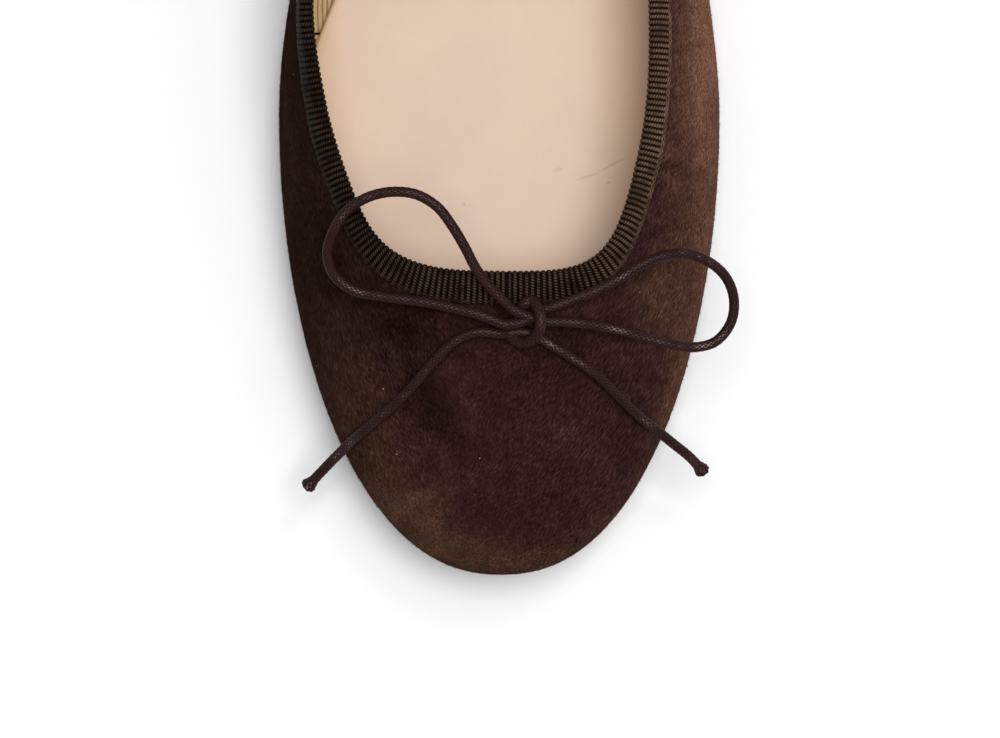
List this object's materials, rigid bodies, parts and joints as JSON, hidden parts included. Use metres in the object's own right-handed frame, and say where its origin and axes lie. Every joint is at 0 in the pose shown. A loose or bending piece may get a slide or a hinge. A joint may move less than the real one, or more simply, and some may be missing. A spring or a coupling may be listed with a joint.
{
  "type": "ballet flat",
  "caption": "Left-foot ballet flat with a hollow suede upper, low collar with folded ribbed binding, small cord bow, thin leather sole, low heel and pale insole",
  "frame": {"origin": "on the floor, under the middle of the shoe's box measured without the cord bow", "axes": "toe along -Y and heel along +Y, the outer (lateral) side +X, up +Z"},
  "size_m": [0.0885, 0.247, 0.0614],
  "materials": {
    "suede": "soft brushed suede, dark plum brown, mottled nap",
    "grosgrain": "ribbed grosgrain tape, very dark brown",
    "waxed_cord": "waxed braided round cord, dark plum brown, small glints",
    "sole_leather": "smooth dyed sole leather, semi-matt",
    "heel_leather": "stacked dyed leather, semi-matt",
    "heel_rubber": "matt rubber",
    "insole_leather": "smooth pale natural leather, soft sheen"
  },
  "bodies": {
    "root": {"upper": "suede", "collar_binding": "grosgrain", "outsole": "sole_leather", "heel_stack": "heel_leather", "heel_top_lift": "heel_rubber", "insole": "insole_leather", "bow_knot": "waxed_cord", "bow_loop_medial": "waxed_cord", "bow_loop_lateral": "waxed_cord", "bow_end_medial": "waxed_cord", "bow_end_lateral": "waxed_cord"}
  },
  "joints": []
}
